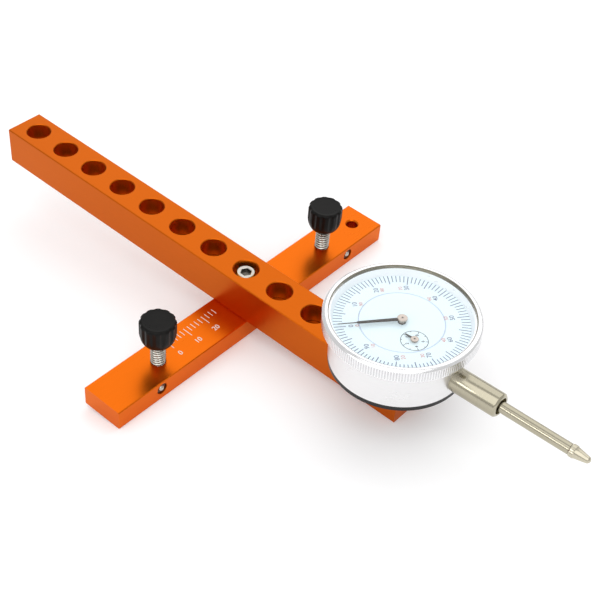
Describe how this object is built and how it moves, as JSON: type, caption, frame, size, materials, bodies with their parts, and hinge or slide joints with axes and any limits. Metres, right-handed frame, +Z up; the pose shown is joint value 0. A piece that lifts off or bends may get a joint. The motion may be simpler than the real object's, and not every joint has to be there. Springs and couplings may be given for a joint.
{
  "type": "machine table alignment gauge with dial indicator",
  "caption": "Slot bar with thumbscrews and ball plungers carries a drilled swinging arm whose end holds a tilting dial indicator with a sprung plunger, geared hands and a turning bezel.",
  "frame": {"origin": "axis of the arm's clamp screw at the slot bar's bottom face", "axes": "+X along the arm towards the indicator's contact point, +Y along the slot bar, +Z up, away from the table"},
  "size_m": [0.2975, 0.1576, 0.0551],
  "materials": {
    "orange_anodised": "orange anodised, fine satin grain",
    "bright_steel": "bright zinc",
    "dark_steel": "black oxide with a worn bright rim",
    "spring_steel": "spring wire",
    "black_plastic": "moulded, slightly worn",
    "black_cover": "moulded back cover",
    "white_enamel": "semi-gloss white",
    "satin_chrome": "polished top, knurled band",
    "warm_nickel": "satin nickel",
    "dial_white": "printed white dial",
    "crystal": "clear acrylic",
    "hand_black": "satin black",
    "hub_metal": "turned, satin",
    "brass": "satin"
  },
  "bodies": {
    "slot_bar": {"miter_bar": "orange_anodised", "clamp_screw": "dark_steel", "clamp_flat_washer": "bright_steel", "clamp_lock_washer": "bright_steel", "near_plunger_body": "bright_steel", "far_plunger_body": "bright_steel", "near_plunger_spring": "spring_steel", "far_plunger_spring": "spring_steel"},
    "arm": {"extension_arm": "orange_anodised", "lug_screw": "dark_steel"},
    "indicator": {"lug_back": "black_cover", "cover_screws": "bright_steel", "case_body": "white_enamel", "stem_bush": "warm_nickel", "top_plug": "warm_nickel", "guide_rod": "bright_steel", "upper_plate": "brass", "centre_cock": "brass", "lower_bridge": "brass", "movement_pillars": "brass", "movement_screws": "bright_steel", "hairspring": "spring_steel", "return_spring": "spring_steel", "snap_ring": "spring_steel", "dial_face": "dial_white"},
    "bezel": {"bezel_ring": "satin_chrome", "crystal": "crystal", "dial_ring": "dial_white"},
    "plunger": {"spindle": "warm_nickel", "contact_point": "warm_nickel", "guide_arm": "brass"},
    "rack_train": {"rack_pinion": "brass", "gear_wheel": "brass", "counter_hand": "hand_black", "counter_hub": "hub_metal"},
    "centre": {"centre_pinion": "brass", "main_hand": "hand_black", "main_hub": "hub_metal"},
    "takeup": {"takeup_wheel": "brass"},
    "near_stud": {"near_thumb_stud": "bright_steel"},
    "near_knob": {"near_thumb_knob": "black_plastic"},
    "far_stud": {"far_thumb_stud": "bright_steel"},
    "far_knob": {"far_thumb_knob": "black_plastic"},
    "near_ball": {"near_plunger_ball": "bright_steel"},
    "far_ball": {"far_plunger_ball": "bright_steel"}
  },
  "joints": [
    {"name": "arm_swing", "type": "hinge", "parent": "slot_bar", "child": "arm", "pos_m": [0, 0, 0], "axis": [0, 0, 1], "range_deg": [-68, 68]},
    {"name": "indicator_tilt", "type": "hinge", "parent": "arm", "child": "indicator", "pos_m": [0.0776, 0, 0.02], "axis": [0, 1, 0], "range_deg": [-7, 90]},
    {"name": "bezel_turn", "type": "hinge", "parent": "indicator", "child": "bezel", "pos_m": [0.07655, 0, 0.04998], "axis": [-0.0349, 0, 0.9994], "continuous": true},
    {"name": "plunger_slide", "type": "slide", "parent": "indicator", "child": "plunger", "axis": [-0.9994, 0, -0.0349], "range_m": [0, 0.0254], "stiffness_N_per_m": 40, "springref_m": -0.02, "deforming": ["return_spring"]},
    {"name": "rack_pinion_spin", "type": "hinge", "parent": "indicator", "child": "rack_train", "pos_m": [0.08609, -0.0047, 0.04331], "axis": [-0.0349, 0, 0.9994], "range_deg": [-5, 365]},
    {"name": "centre_spin", "type": "hinge", "parent": "indicator", "child": "centre", "pos_m": [0.0768, 0, 0.04299], "axis": [-0.0349, 0, 0.9994], "range_deg": [-3610, 10]},
    {"name": "takeup_spin", "type": "hinge", "parent": "indicator", "child": "takeup", "pos_m": [0.0675, 0.0047, 0.04266], "axis": [-0.0349, 0, 0.9994], "range_deg": [-5, 365], "deforming": ["hairspring"]},
    {"name": "near_thumb_slide", "type": "slide", "parent": "slot_bar", "child": "near_stud", "axis": [0, 0, 1], "range_m": [-0.0095, 0.0055]},
    {"name": "near_thumb_spin", "type": "hinge", "parent": "near_stud", "child": "near_knob", "pos_m": [0, -0.0492, 0.023], "axis": [0, 0, 1], "range_deg": [-2700, 1570]},
    {"name": "near_ball_press", "type": "slide", "parent": "slot_bar", "child": "near_ball", "axis": [-1, 0, 0], "range_m": [0, 0.0005], "stiffness_N_per_m": 3000, "springref_m": -0.001, "deforming": ["near_plunger_spring"]},
    {"name": "far_thumb_slide", "type": "slide", "parent": "slot_bar", "child": "far_stud", "axis": [0, 0, 1], "range_m": [-0.0095, 0.0055]},
    {"name": "far_thumb_spin", "type": "hinge", "parent": "far_stud", "child": "far_knob", "pos_m": [0, 0.0492, 0.023], "axis": [0, 0, 1], "range_deg": [-2700, 1570]},
    {"name": "far_ball_press", "type": "slide", "parent": "slot_bar", "child": "far_ball", "axis": [-1, 0, 0], "range_m": [0, 0.0005], "stiffness_N_per_m": 3000, "springref_m": -0.001, "deforming": ["far_plunger_spring"]}
  ],
  "couplings": [
    {"joint": "rack_pinion_spin", "follows": "plunger_slide", "rad_per_m": 247.37},
    {"joint": "centre_spin", "follows": "plunger_slide", "rad_per_m": -2473.7},
    {"joint": "takeup_spin", "follows": "plunger_slide", "rad_per_m": 247.37},
    {"joint": "near_thumb_spin", "follows": "near_thumb_slide", "rad_per_m": 4947.4},
    {"joint": "far_thumb_spin", "follows": "far_thumb_slide", "rad_per_m": 4947.4}
  ]
}
